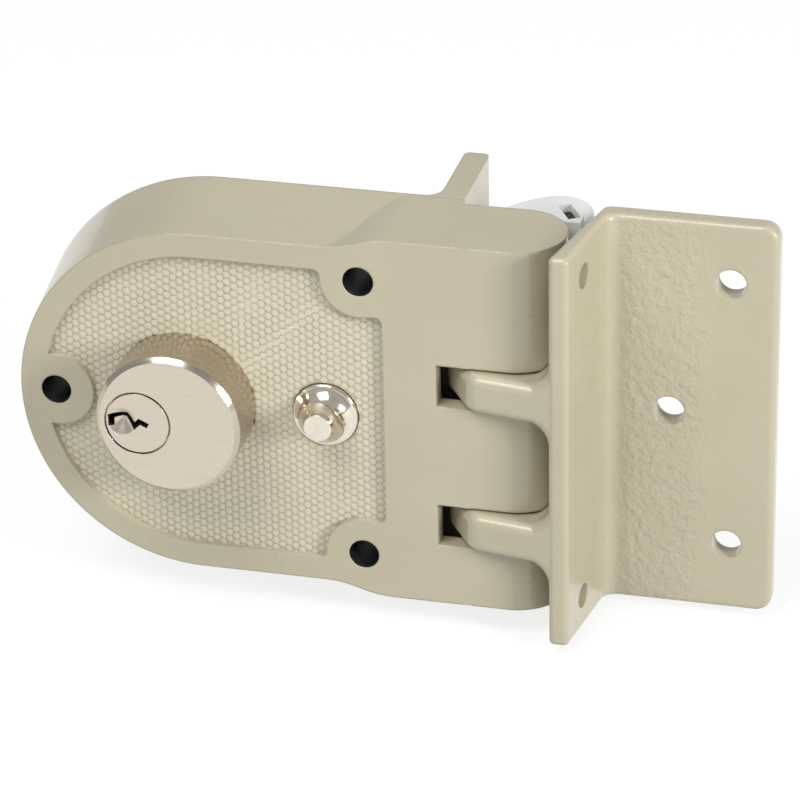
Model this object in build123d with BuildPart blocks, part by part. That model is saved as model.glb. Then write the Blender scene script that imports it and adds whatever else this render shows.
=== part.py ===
from build123d import *
import os
from math import atan2, cos, degrees, pi, radians, sin, sqrt

os.makedirs("parts", exist_ok=True)

# Rim deadlock with two vertical bolts and its angle strike, in millimetres.
# The origin is on the cylinder's axis, where it meets the face that sits against the door.
# X runs from the round end towards the strike, Y from the front of the case into the door, Z up.
# A depth is measured from the front face of the case, backwards.

# Case
case_depth = 22.2          # front face to mounting face
half_height = 38.9         # at the mounting face
front_half = 36.5          # at the front face, so the round end has draft
round_x = 3.2              # centre of the round end
flare_start = 28.0         # where the front outline starts to widen
block_x = 42.2             # where the full height is reached
nose_x = 65.2              # centre of the round nose, and axis of the bolts
nose_step = 2.4            # the nose is this much thinner than the case
nose_back_wall = 4.0       # behind the closed part of the cavity
flange_left = 47.0         # door-edge flange
flange_thick = 5.0
flange_reach = 21.6        # behind the mounting face
flange_foot = 3.5
flange_round = 1.2
border = 5.0               # raised rim round the panel
recess_depth = 1.2
panel_end = 40.7
panel_end_half = 22.4
panel_corner = 1.4
land_radius = 7.7
side_wall = 4.0
front_wall = 4.0
cavity_end = 46.6          # right end of the open part of the cavity
throat_end = 56.0          # the closed part runs on to here
cut_over = 1.0             # overrun of every cut

# Mounting screws of the case
mount_hole = 6.1
mount_boss = 12.0
mount_left_x = -26.0
mount_right_x = 36.2
mount_half = 29.8

# Slots in the nose, and the fingers that enter them
slot_x = 51.3
slot_height = 8.9
slot_upper_z = 9.0
slot_lower_z = -21.5
finger_play = 0.45

# Bolts
bolt_radius = 4.7
bore_play = 0.1
bolt_travel = 14.0
bolt_gap = 0.6             # bolt end above the slot when drawn back
bolt_body = 15.5
bolt_lead = 0.8
spigot_radius = 2.5
spigot_play = 0.05
clip_thick = 0.6
clip_radius = 3.6
spigot_over = 0.3
bore_top = 35.4
bore_plug_length = 4.0

# Gaps between the layers of the mechanism, from the cover forwards
lever_gap = 0.8            # cover to catch lever
plate_gap = 0.9            # lever to the carriage's plate
bridge_gap = 0.8           # plate to bridge
cam_gap = 0.3              # plate to cam
shank_short = 0.5          # plate to the end of the button's full shank
shank_clear = 0.9          # lever to the end of the shank's cone

# Carriage
arm_thick = 3.5
arm_width = 5.0
arm_end_radius = 4.3
arm_slit_play = 0.3
bar_left = 42.8
bar_thick = 3.4
plate_thick = 1.8
limb_left = -0.9
limb_bottom = 1.5
limb_top = 12.0
plate_left = 16.5
plate_bottom = -6.5
plate_top = 22.3
tab_side = 4.0
tab_over = 3.0
nib_width = 2.0
nib_height = 2.5

# Guide screws and the bridge they clamp
guide_a = (21.0, 12.0)
guide_b = (38.6, 4.0)
guide_boss_a = 4.0
guide_boss_b = 3.0
guide_shoulder = 1.8
guide_play = 0.2
guide_head = 3.2
guide_head_thick = 1.2
guide_run = 0.3            # under the head
guide_thread = 1.3
guide_thread_length = 5.5
bridge_thick = 1.2
bridge_lobe = 3.9
bridge_hub = 6.4

# Cylinder
cylinder_radius = 14.6
cylinder_proud = 10.6
cylinder_bevel = 0.9
cylinder_play = 0.05
collar_radius = 18.2
collar_end = 9.0
set_screw_depth = 6.5
set_screw_radius = 1.75
set_screw_length = 5.2
set_screw_gap = 0.02
socket_flats = 1.5
socket_deep = 1.6

# Plug
plug_x = -6.0
plug_radius = 6.35
plug_play = 0.05
plug_tail = 0.2            # past the cylinder's back end
ring_gap = 0.38            # the shadow line round the plug's face
ring_deep = 1.2
key_width = 1.1
key_stop = 3.8             # left solid behind the keyway
key_start_x = -5.4
key_points = ((0.0, -1.1), (0.0, 0.9), (3.1, 1.4), (4.7, -0.7), (5.8, 0.4), (7.5, -0.4))
key_mouth = (-3.2, 0.2)
key_mouth_radius = 2.9
key_mouth_deep = 1.7

# Pins
pin_count = 5
pin_first = -5.4
pin_last = 3.2             # last pin to the cylinder's back end
pin_wall = 0.9             # between two chambers
pin_play = 0.1
key_pin_start = 2.3        # from the plug's axis
key_pin_end = 6.1
driver_start = 6.5
driver_length = 4.4
pin_chamber_end = 18.75
strip_half = 1.75
strip_play = 0.02
strip_end = 0.8            # strip to the cylinder's back end
strip_margin = 2.4
pin_spring_play = 0.4      # pin's side to the middle of its spring's wire
pin_spring_wire = 0.3
pin_spring_turns = 5

# Cam
cam_thick = 2.0
cam_hub = 6.0
cam_reach = 12.2
cam_angle = 35.0           # above the level, with the bolts drawn back
cam_stud = 1.9
cam_stud_eye = 2.6
cam_stud_tail = 0.5
cam_slot = 2.1
cam_slot_length = 5.6
cam_screw_spread = 4.2
cam_screw_radius = 1.0
cam_screw_head = 1.7
cam_screw_head_thick = 1.0
cam_screw_length = 4.5
drive_play = 0.35
drive_over = 0.4

# Button
button_x = 28.8
button_radius = 6.6
button_play = 0.12
button_rim_depth = 0.35
button_rim_lip = 0.5
button_proud = 5.2
button_tip = 2.75
button_neck = 3.15
button_neck_drop = 0.7
button_flange = 7.05
button_flange_gap = 0.2
button_flange_thick = 1.5
shank_radius = 2.5
shank_play = 0.15
shank_tip_radius = 1.5
shank_slot_play = 0.4
button_spring_radius = 3.9
button_spring_wire = 0.7
button_travel = 3.0        # its spring is drawn pressed, so it is shorter by this
coil_gap = 0.2

# Catch lever that the button pushes aside
lever_thick = 1.6
lever_pivot = (25.9, -14.0)
lever_width = 3.0
lever_top = 8.0
lever_hook = 2.0
lever_hook_end = 31.7
lever_eye = 3.0
pivot_radius = 1.5
pivot_play = 0.05
pivot_head = 2.5
pivot_head_thick = 0.5
pivot_head_gap = 0.1
stud_x = 33.4
stud_z = 9.7
stud_radius = 1.5
stud_tail = 1.2
catch_spring_z = 3.0
catch_spring_radius = 1.2
catch_spring_wire = 0.4
catch_spring_turns = 6
catch_travel = 2.3         # its spring is drawn pressed too
catch_tab_left = 17.4
catch_tab_thick = 1.0
catch_tab_half = 2.5

# Throw spring
throw_x = 6.5
throw_radius = 2.45
throw_wire = 0.8
throw_turns = 10

# Back cover
cover_thick = 1.6
cover_ledge = 1.4
cover_play = 0.1
tail_hole = 5.5
cover_boss = 2.9
cover_screw_radius = 1.1
cover_screw_head = 2.3
cover_screw_length = 8.0
cover_screws_at = ((-16.0, 22.0), (-16.0, -22.0), (22.0, -31.2), (13.4, 31.2))
slot_drive_width = 0.7
slot_drive_deep = 0.6
slot_turn = 30.0

# Nose guard
guard_left = 57.6
guard_right = 75.4
guard_crest_x = 66.6
guard_proud = 11.8         # crest behind the nose
guard_top = 37.0
guard_height = 20.0
guard_wall = 1.6
guard_shoulder = 1.4
guard_slot = (2.6, 6.5)
guard_slot_x = 72.3
guard_slot_in = 4.8        # middle of the slot behind the nose
guard_slot_turn = 30.0
guard_seat = 0.05
guard_screw_radius = 1.6
guard_screw_head = 2.6
guard_screw_head_thick = 1.4
guard_screw_length = 6.0
guard_screw_x = 68.0

# Strike
strike_above = 41.0
strike_below = 42.8
strike_set = 5.5           # mounting face to the face that is screwed on
strike_thick = 4.4
strike_right = 114.7
strike_corner = 3.2
side_edge = -5.4           # depth of the side flange's front edge
side_edge_left = 74.3
side_edge_right = 78.4
side_back_left = 80.0
side_back_right = 81.6
bend_inside = 3.0
bend_outside = 2.4
strike_edge = 1.1
strike_hole = 6.1
strike_hole_x = 105.54
strike_mid_x = 93.78
strike_hole_half = 28.4
side_hole = 5.0
side_hole_depth = 3.4
side_hole_margin = 7.1
side_boss_radius = 2.2
side_boss_proud = 1.0
side_floor = 1.1           # left at the bottom of the dimple

# Fingers
finger_tip_x = 51.9
finger_shoulder_x = 58.3
finger_front = -2.4
finger_step = 2.2          # the fingers stop this far before the nose's back
finger_tip_half = 3.0
finger_tip_round = 3.0
finger_shoulder_round = 4.0
finger_round = 1.9
root_round = 2.4           # more than the finger's, so the root's edge starts inside it
finger_eye_play = 0.5
finger_flare = 4.6
finger_flare_x = 69.6

# Where each casting is divided, so that the collision of its pieces stays open where it is open
nose_split = 57.0
flange_seat = 0.3          # the flange piece starts this far inside the mounting face
finger_split = 72.0

# Worked out from the sizes above
draft = degrees(atan2(half_height - front_half, case_depth))
inner_half = half_height - side_wall
nose_depth = case_depth - nose_step
nose_radius = nose_depth / 2
throat_rear = nose_depth - nose_back_wall
slot_throat = throat_end - cut_over # behind the front wall the slots start here
cover_front = case_depth - cover_thick
cover_end = flange_left - flange_foot
lever_front = cover_front - lever_gap - lever_thick
plate_rear = lever_front - plate_gap
plate_front = plate_rear - plate_thick
bridge_rear = plate_front - bridge_gap
guide_boss_depth = bridge_rear - bridge_thick
head_front = plate_rear + guide_run
cam_front = plate_front - cam_gap - cam_thick
cylinder_end = cam_front - plug_tail
shank_full_depth = plate_front - shank_short
shank_end_depth = lever_front - shank_clear
flange_right = flange_left + flange_thick
slot_centres = (slot_upper_z, slot_lower_z)
finger_thick = slot_height - 2 * finger_play
finger_rear = nose_depth - finger_step
strike_front = case_depth - strike_set
guard_crest = nose_depth + guard_proud
bore_radius = bolt_radius + bore_play
arm_front = nose_radius - arm_width / 2
mounts_at = ((mount_left_x, 0), (mount_right_x, mount_half), (mount_right_x, -mount_half))
bolt_feet = [z + slot_height / 2 + bolt_gap for z in slot_centres]
arm_levels = [foot + bolt_body for foot in bolt_feet]
drive_z = cam_reach * sin(radians(cam_angle))
drive_near = plug_x + cam_reach * cos(radians(cam_angle))
drive_far = plug_x + cam_reach
key_length = cylinder_proud + cam_front - key_stop
strip_length = cylinder_end - strip_end - pin_first + strip_margin
pin_pitch = (cylinder_end - pin_last - pin_first) / (pin_count - 1)
pin_radius = (pin_pitch - pin_wall) / 2 - pin_play
pin_spring_radius = pin_radius - pin_spring_play
pin_depths = [pin_first + n * pin_pitch for n in range(pin_count)]


def layer(depth):
    """Sketch plane facing the viewer, at a depth behind the front face."""
    return Plane.XZ.offset(case_depth - depth)


def y_of(depth):
    return depth - case_depth


def save(piece, name):
    piece.label = name
    export_step(piece, f"parts/{name}.step")


def spring(start, finish, radius, wire, turns, plane):
    """One coil of round wire along the plane's normal, each half turn made of two arcs."""
    seat = start + wire / 2
    climb = (finish - start - wire) / (2 * turns)

    def point(half):
        turn = pi * half
        return Vector(radius * cos(turn), radius * sin(turn), seat + climb * half)

    def heading(half):
        turn = pi * half
        return Vector(-radius * pi * sin(turn), radius * pi * cos(turn), climb).normalized()

    edges = []
    for half in range(2 * turns):
        here, there = point(half), point(half + 1)
        out, arrive = heading(half), heading(half + 1)
        chord = there - here
        both = out + arrive
        spare = 2 * (1 - out.dot(arrive))
        reach = (sqrt(chord.dot(both) ** 2 + spare * chord.dot(chord)) - chord.dot(both)) / spare
        joint = (here + there + (out - arrive) * reach) / 2
        edges.append(Edge.make_tangent_arc(here, out, joint))
        edges.append(Edge.make_tangent_arc(joint, (there - arrive * reach - joint).normalized(), there))
    with BuildPart() as coil:
        with BuildSketch(Plane(point(0), z_dir=heading(0))):
            Circle(wire / 2)
        sweep(path=Wire(edges))
    return coil.part.moved(plane.location)


def along_x(x, depth, z):
    """Plane whose normal is +X."""
    return Plane((x, y_of(depth), z), x_dir=(0, 1, 0), z_dir=(1, 0, 0))


def along_y(x, depth, z):
    """Plane whose normal is +Y, into the door."""
    return Plane((x, y_of(depth), z), x_dir=(1, 0, 0), z_dir=(0, 1, 0))


def upright(x, depth, z):
    """Plane whose normal is +Z."""
    return Plane((x, y_of(depth), z), x_dir=(1, 0, 0), z_dir=(0, 0, 1))


def between(low, high):
    """Middle and size of the box that spans two corners."""
    middle = tuple((a + b) / 2 for a, b in zip(low, high))
    size = tuple(b - a for a, b in zip(low, high))
    return middle, size


def countersunk(x, z, length):
    """Flat-headed screw from the mounting face forwards, also cut out as the hole for one."""
    with BuildPart() as blank:
        with BuildSketch(upright(x, case_depth, z)):
            with BuildLine():
                Polyline(
                    (0, 0),
                    (cover_screw_head, 0),
                    (cover_screw_radius, cover_screw_radius - cover_screw_head),
                    (cover_screw_radius, -length),
                    (0, -length),
                    close=True,
                )
            make_face()
        revolve(axis=Axis((x, 0, z), (0, 1, 0)))
    return blank.part


# Case: one casting with the round end drafted, the nose, and the flange on the door's edge
with BuildPart() as case:
    with BuildSketch(layer(case_depth)):
        with Locations((round_x, 0)):
            Circle(half_height)
        with Locations(((round_x + block_x) / 2, 0)):
            Rectangle(block_x - round_x, 2 * half_height)
    extrude(amount=case_depth, taper=draft)

    # Plan of the block, the nose and the flange
    with BuildSketch() as plan:
        with BuildLine():
            Polyline(
                (nose_x, y_of(0)),
                (block_x, y_of(0)),
                (block_x, 0),
                (flange_left, 0),
                (flange_left, flange_reach),
                (flange_right, flange_reach),
                (flange_right, y_of(nose_depth)),
                (nose_x, y_of(nose_depth)),
            )
            ThreePointArc(
                (nose_x, y_of(nose_depth)),
                (nose_x + nose_radius, y_of(nose_radius)),
                (nose_x, y_of(0)),
            )
        make_face()
        fillet(plan.vertices().group_by(Axis.Y)[-1], flange_round)
        near, far = flange_left - flange_foot, flange_left + flange_foot
        foot = plan.vertices().filter_by_position(Axis.X, near, far)
        fillet(foot.filter_by_position(Axis.Y, -flange_foot, flange_foot), flange_foot)
    extrude(amount=half_height, both=True)

    # The front outline widens in an S on the way to the block
    for side in (1, -1):
        start = (flare_start, side * front_half)
        middle = ((flare_start + block_x) / 2, side * (front_half + half_height) / 2)
        finish = (block_x, side * half_height)
        with BuildSketch(layer(0)):
            with BuildLine():
                first = TangentArc(start, middle, tangent=(1, 0))
                TangentArc(middle, finish, tangent=first % 1)
                Polyline(finish, (block_x, 0), (flare_start, 0), start)
            make_face()
        extrude(amount=-case_depth)

    # Sunk panel between the raised border and the three screw lands
    with BuildSketch(layer(0)) as panel:
        with Locations((round_x, 0)):
            Circle(front_half - border)
        with Locations(((round_x + mount_right_x) / 2, 0)):
            Rectangle(mount_right_x - round_x, 2 * (front_half - border))
        with Locations(((round_x + panel_end) / 2, 0)):
            Rectangle(panel_end - round_x, 2 * panel_end_half)
        with Locations(*mounts_at):
            Circle(land_radius, mode=Mode.SUBTRACT)
        near, far = flare_start - land_radius, panel_end + cut_over
        corners = panel.vertices().filter_by_position(Axis.X, near, far)
        fillet(corners, panel_corner)
    extrude(amount=-recess_depth, mode=Mode.SUBTRACT)

    # Cavity, open at the back up to the foot of the flange, and closed behind the nose slots
    with BuildSketch(layer(cover_front)):
        with Locations((round_x, 0)):
            Circle(inner_half)
        with Locations(((round_x + cavity_end) / 2, 0)):
            Rectangle(cavity_end - round_x, 2 * inner_half)
    extrude(amount=cover_front - front_wall, mode=Mode.SUBTRACT)
    with BuildSketch(layer(front_wall)):
        with Locations(((cavity_end + throat_end) / 2, 0)):
            Rectangle(throat_end - cavity_end, 2 * inner_half)
    extrude(amount=-(throat_rear - front_wall), mode=Mode.SUBTRACT)

    # Pocket for the back cover, which lies on the ledge that this leaves
    with BuildSketch(layer(case_depth)):
        with Locations((round_x, 0)):
            Circle(inner_half + cover_ledge)
        with Locations(((round_x + cover_end) / 2, 0)):
            Rectangle(cover_end - round_x, 2 * (inner_half + cover_ledge))
    extrude(amount=cover_thick, mode=Mode.SUBTRACT)

    # Bosses for the mounting screws, the guide screws, the cover screws and the cylinder
    with BuildSketch(layer(front_wall)):
        with Locations(*mounts_at):
            Circle(mount_boss / 2)
    extrude(amount=-(case_depth - front_wall))
    with BuildSketch(layer(front_wall)):
        with Locations(*cover_screws_at):
            Circle(cover_boss)
    extrude(amount=-(cover_front - front_wall))
    with BuildSketch(layer(front_wall)):
        with Locations(guide_a):
            Circle(guide_boss_a)
        with Locations(guide_b):
            Circle(guide_boss_b)
    extrude(amount=-(guide_boss_depth - front_wall))
    with BuildSketch(layer(front_wall)):
        Circle(collar_radius)
    extrude(amount=-(collar_end - front_wall))

    # Holes for the cylinder, the button and every screw
    with BuildSketch(layer(-cut_over)):
        Circle(cylinder_radius + cylinder_play)
    extrude(amount=-(collar_end + 2 * cut_over), mode=Mode.SUBTRACT)
    with BuildSketch(layer(-cut_over)):
        with Locations((button_x, 0)):
            Circle(button_radius + button_play)
    extrude(amount=-(front_wall + 2 * cut_over), mode=Mode.SUBTRACT)
    with BuildSketch(layer(-cut_over)):
        with Locations(*mounts_at):
            Circle(mount_hole / 2)
    extrude(amount=-(case_depth + 2 * cut_over), mode=Mode.SUBTRACT)
    with BuildSketch(layer(cover_front)):
        with Locations(*cover_screws_at):
            Circle(cover_screw_radius)
    extrude(amount=cover_screw_length, mode=Mode.SUBTRACT)
    with BuildSketch(layer(guide_boss_depth)):
        with Locations(guide_a, guide_b):
            Circle(guide_thread)
    extrude(amount=guide_thread_length, mode=Mode.SUBTRACT)
    with BuildSketch(upright(0, set_screw_depth, 0)):
        Circle(set_screw_radius)
    extrude(amount=collar_radius + set_screw_length, mode=Mode.SUBTRACT)

    # Slots for the fingers, the bore for the bolts and the slits for the carriage's arms
    for z in slot_centres:
        with BuildSketch(layer(-cut_over)):
            with Locations(((slot_x + nose_x + nose_depth) / 2, z)):
                Rectangle(nose_x + nose_depth - slot_x, slot_height)
        extrude(amount=-(front_wall + 2 * cut_over), mode=Mode.SUBTRACT)
        with BuildSketch(layer(-cut_over)):
            with Locations(((slot_throat + nose_x + nose_depth) / 2, z)):
                Rectangle(nose_x + nose_depth - slot_throat, slot_height)
        extrude(amount=-(nose_depth + 2 * cut_over), mode=Mode.SUBTRACT)
    with BuildSketch(upright(nose_x, nose_radius, bore_top)):
        Circle(bore_radius)
    extrude(amount=-(bore_top + half_height + cut_over), mode=Mode.SUBTRACT)
    for level in arm_levels:
        slit_top = level + arm_thick + arm_slit_play
        slit_foot = level - bolt_travel - arm_slit_play
        with BuildSketch(layer(arm_front - arm_slit_play)):
            with Locations(((throat_end - cut_over + nose_x) / 2, (slit_top + slit_foot) / 2)):
                Rectangle(nose_x - throat_end + cut_over, slit_top - slit_foot)
        extrude(amount=-(arm_width + 2 * arm_slit_play), mode=Mode.SUBTRACT)

    # Tapped hole for the guard's screw
    with BuildSketch(layer(nose_depth)):
        with Locations((guard_screw_x, guard_top - guard_height / 2)):
            Circle(guard_screw_radius)
    extrude(amount=guard_screw_length - guard_wall, mode=Mode.SUBTRACT)

# The casting's flange and nose are pieces of their own, face to face with the rest
flange_middle, flange_size = between(
    (cover_end, -flange_seat, -half_height - cut_over),
    (flange_right + cut_over, flange_reach + cut_over, half_height + cut_over),
)
nose_middle, nose_size = between(
    (nose_split, y_of(-cut_over), -half_height - cut_over),
    (nose_x + nose_radius + cut_over, y_of(nose_depth) + cut_over, half_height + cut_over),
)
with BuildPart() as edge_flange:
    with Locations(flange_middle):
        Box(*flange_size)
    add(case.part, mode=Mode.INTERSECT)
save(edge_flange.part, "edge_flange")
with BuildPart() as case_nose:
    with Locations(nose_middle):
        Box(*nose_size)
    add(case.part, mode=Mode.INTERSECT)
save(case_nose.part, "case_nose")
with case:
    with Locations(flange_middle):
        Box(*flange_size, mode=Mode.SUBTRACT)
    with Locations(nose_middle):
        Box(*nose_size, mode=Mode.SUBTRACT)
save(case.part, "case")

# Back cover: a flat plate let into the case, with the hole for an outside cylinder's tailpiece
with BuildPart() as back_cover:
    with BuildSketch(layer(cover_front)):
        with Locations((round_x, 0)):
            Circle(inner_half + cover_ledge - cover_play)
        with Locations(((round_x + cover_end - cover_play) / 2, 0)):
            Rectangle(cover_end - cover_play - round_x, 2 * (inner_half + cover_ledge - cover_play))
        with Locations(*mounts_at):
            Circle(mount_boss / 2 + cover_play, mode=Mode.SUBTRACT)
        with Locations((plug_x, 0)):
            Circle(tail_hole, mode=Mode.SUBTRACT)
        with Locations(lever_pivot):
            Circle(pivot_radius, mode=Mode.SUBTRACT)
    extrude(amount=-cover_thick)
    for x, z in cover_screws_at:
        add(countersunk(x, z, cover_thick), mode=Mode.SUBTRACT)
    with BuildSketch(layer(cover_front)):
        with Locations((catch_tab_left + catch_tab_thick / 2, catch_spring_z)):
            Rectangle(catch_tab_thick, 2 * catch_tab_half)
    extrude(amount=cover_front - lever_front + pivot_head_gap)
save(back_cover.part, "back_cover")

# Flat-headed cover screws, level with the cover
with BuildPart() as cover_screws:
    for x, z in cover_screws_at:
        add(countersunk(x, z, cover_screw_length))
    with BuildSketch(layer(case_depth)):
        with Locations(*cover_screws_at):
            Rectangle(2 * cover_screw_head, slot_drive_width, rotation=slot_turn)
    extrude(amount=slot_drive_deep, mode=Mode.SUBTRACT)
save(cover_screws.part, "cover_screws")

# Plug that closes the lower end of the bolt bore
with BuildPart() as bore_plug:
    with BuildSketch(upright(nose_x, nose_radius, -half_height)):
        Circle(bore_radius - cylinder_play)
    extrude(amount=bore_plug_length)
save(bore_plug.part, "bore_plug")

# Nose guard: a pressed hood behind the nose, hollow from below
guard_back = y_of(nose_depth) + guard_seat
guard_rise = guard_back + guard_wall
guard_swell_x = (guard_left + guard_crest_x) / 2 - guard_wall / 2
guard_swell_y = (y_of(guard_crest) + guard_back) / 2 + guard_wall
with BuildPart() as nose_guard:
    with BuildSketch(Plane.XY.offset(guard_top - guard_height)) as guard_plan:
        with BuildLine():
            swell = ThreePointArc(
                (guard_left, guard_rise),
                (guard_swell_x, guard_swell_y),
                (guard_crest_x, y_of(guard_crest)),
            )
            TangentArc(swell @ 1, (guard_right, guard_rise), tangent=swell % 1)
            edge = (guard_right, guard_rise)
            Polyline(edge, (guard_right, guard_back), (guard_left, guard_back), swell @ 0)
        make_face()
    extrude(amount=guard_height)
    crown = nose_guard.faces().sort_by(Axis.Z)[-1]
    fillet(crown.edges().filter_by(GeomType.CIRCLE), guard_shoulder)
    with BuildSketch(Plane.XY.offset(guard_top - guard_height - cut_over)):
        offset(guard_plan.sketch, amount=-guard_wall)
    extrude(amount=guard_height - guard_wall + cut_over, mode=Mode.SUBTRACT)
    with BuildSketch(Plane.XY.offset(guard_top + cut_over)):
        with Locations((guard_slot_x, y_of(nose_depth + guard_slot_in))):
            Rectangle(*guard_slot, rotation=guard_slot_turn)
    extrude(amount=-(guard_height / 2), mode=Mode.SUBTRACT)
    with BuildSketch(layer(nose_depth - cut_over)):
        with Locations((guard_screw_x, guard_top - guard_height / 2)):
            Circle(guard_screw_radius + cylinder_play)
    extrude(amount=-(guard_wall + 2 * cut_over), mode=Mode.SUBTRACT)
save(nose_guard.part, "nose_guard")

with BuildPart() as guard_screw:
    with BuildSketch(layer(nose_depth + guard_wall + guard_seat)):
        with Locations((guard_screw_x, guard_top - guard_height / 2)):
            Circle(guard_screw_head)
    extrude(amount=-guard_screw_head_thick)
    with BuildSketch(layer(nose_depth + guard_wall + guard_seat)):
        with Locations((guard_screw_x, guard_top - guard_height / 2)):
            Circle(guard_screw_radius)
    extrude(amount=guard_screw_length)
    with BuildSketch(layer(nose_depth + guard_wall + guard_seat + guard_screw_head_thick)):
        with Locations((guard_screw_x, guard_top - guard_height / 2)):
            Rectangle(2 * guard_screw_head, slot_drive_width)
    extrude(amount=slot_drive_deep, mode=Mode.SUBTRACT)
save(guard_screw.part, "guard_screw")

# Cylinder body with an off-centre bore, pin chambers and a slot for their strip
strip_foot = plug_x + pin_chamber_end
with BuildPart() as cylinder_body:
    with BuildSketch(layer(-cylinder_proud)):
        Circle(cylinder_radius)
    extrude(amount=-(cylinder_proud + cylinder_end))
    chamfer(cylinder_body.edges().group_by(Axis.Y)[0], cylinder_bevel)
    with BuildSketch(layer(-cylinder_proud - cut_over)):
        with Locations((plug_x, 0)):
            Circle(plug_radius + plug_play)
    extrude(amount=-(cylinder_proud + cylinder_end + 2 * cut_over), mode=Mode.SUBTRACT)
    with BuildSketch(layer(-cylinder_proud)):
        with Locations((plug_x, 0)):
            Circle(plug_radius + ring_gap)
    extrude(amount=-ring_deep, mode=Mode.SUBTRACT)
    for depth in pin_depths:
        with BuildSketch(along_x(plug_x, depth, 0)):
            Circle(pin_radius + pin_play)
        extrude(amount=pin_chamber_end, mode=Mode.SUBTRACT)
    with BuildSketch(along_x(strip_foot, pin_first - strip_margin + strip_length / 2, 0)):
        Rectangle(strip_length, 2 * (strip_half + strip_play))
    extrude(amount=cylinder_radius, mode=Mode.SUBTRACT)
save(cylinder_body.part, "cylinder_body")

with BuildPart() as pin_strip:
    with BuildSketch(layer(pin_first - strip_margin + strip_play)):
        Circle(cylinder_radius)
        with Locations((strip_foot + cylinder_radius, 0)):
            Rectangle(2 * cylinder_radius, 2 * strip_half, mode=Mode.INTERSECT)
    extrude(amount=-(strip_length - 2 * strip_play))
save(pin_strip.part, "pin_strip")

with BuildPart() as cylinder_set_screw:
    with BuildSketch(upright(0, set_screw_depth, cylinder_radius + set_screw_gap)):
        Circle(set_screw_radius)
    extrude(amount=set_screw_length)
    with BuildSketch(upright(0, set_screw_depth, cylinder_radius + set_screw_gap + set_screw_length)):
        RegularPolygon(socket_flats / 2, 6, major_radius=False)
    extrude(amount=-socket_deep, mode=Mode.SUBTRACT)
save(cylinder_set_screw.part, "cylinder_set_screw")

# Driver pins and their springs, in the body's chambers
with BuildPart() as driver_pins:
    for depth in pin_depths:
        with BuildSketch(along_x(plug_x + driver_start, depth, 0)):
            Circle(pin_radius)
        extrude(amount=driver_length)
save(driver_pins.part, "driver_pins")

driver_springs = Compound([
    spring(
        driver_start + driver_length, pin_chamber_end, pin_spring_radius, pin_spring_wire, pin_spring_turns,
        along_x(plug_x, depth, 0),
    )
    for depth in pin_depths
])
save(driver_springs, "driver_springs")

# Plug with its keyway, the dished mouth and five key pins
with BuildPart() as plug:
    with BuildSketch(layer(-cylinder_proud)):
        with Locations((plug_x, 0)):
            Circle(plug_radius)
    extrude(amount=-(cylinder_proud + cam_front))
    with BuildSketch(upright(plug_x + key_mouth[0], -cylinder_proud, key_mouth[1])):
        with BuildLine():
            Polyline(
                (0, -cut_over),
                (key_mouth_radius, -cut_over),
                (key_mouth_radius, 0),
                (0, key_mouth_deep),
                close=True,
            )
        make_face()
    revolve(axis=Axis((plug_x + key_mouth[0], 0, key_mouth[1]), (0, 1, 0)), mode=Mode.SUBTRACT)
    with BuildSketch(layer(-cylinder_proud - cut_over)) as keyway:
        with BuildLine():
            Polyline(*[(plug_x + key_start_x + x, z) for x, z in key_points])
        trace(line_width=key_width)
    extrude(amount=-(key_length + cut_over), mode=Mode.SUBTRACT)
    for depth in pin_depths:
        with BuildSketch(along_x(plug_x + key_pin_start - pin_play, depth, 0)):
            Circle(pin_radius + pin_play)
        extrude(amount=plug_radius, mode=Mode.SUBTRACT)
    with BuildSketch(layer(cam_front)):
        with Locations((plug_x, cam_screw_spread), (plug_x, -cam_screw_spread)):
            Circle(cam_screw_radius)
    extrude(amount=cam_screw_length - cam_thick, mode=Mode.SUBTRACT)
save(plug.part, "plug")

with BuildPart() as key_pins:
    for depth in pin_depths:
        with BuildSketch(along_x(plug_x + key_pin_start, depth, 0)):
            Circle(pin_radius)
        extrude(amount=key_pin_end - key_pin_start)
save(key_pins.part, "key_pins")

# Cam on the plug's back end, with the stud that drives the carriage
stud_at = (drive_near, drive_z)
with BuildPart() as cam:
    with BuildSketch(layer(cam_front)):
        with Locations((plug_x, 0)):
            Circle(cam_hub)
        with Locations(stud_at):
            Circle(cam_stud_eye)
        with Locations(((plug_x + drive_near) / 2, drive_z / 2)):
            Rectangle(cam_reach, 2 * cam_stud_eye, rotation=cam_angle)
        with Locations((plug_x, 0)):
            Rectangle(cam_slot_length, cam_slot, mode=Mode.SUBTRACT)
        with Locations((plug_x, cam_screw_spread), (plug_x, -cam_screw_spread)):
            Circle(cam_screw_radius + cylinder_play, mode=Mode.SUBTRACT)
    extrude(amount=-cam_thick)
    with BuildSketch(layer(cam_front + cam_thick)):
        with Locations(stud_at):
            Circle(cam_stud)
    extrude(amount=-(plate_rear + cam_stud_tail - cam_front - cam_thick))
save(cam.part, "cam")

with BuildPart() as cam_screws:
    with BuildSketch(layer(cam_front + cam_thick)):
        with Locations((plug_x, cam_screw_spread), (plug_x, -cam_screw_spread)):
            Circle(cam_screw_head)
    extrude(amount=-cam_screw_head_thick)
    with BuildSketch(layer(cam_front + cam_thick)):
        with Locations((plug_x, cam_screw_spread), (plug_x, -cam_screw_spread)):
            Circle(cam_screw_radius)
    extrude(amount=cam_screw_length)
    with BuildSketch(layer(cam_front + cam_thick + cam_screw_head_thick)):
        with Locations((plug_x, cam_screw_spread), (plug_x, -cam_screw_spread)):
            Rectangle(2 * cam_screw_head, slot_drive_width)
    extrude(amount=slot_drive_deep, mode=Mode.SUBTRACT)
save(cam_screws.part, "cam_screws")

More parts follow.
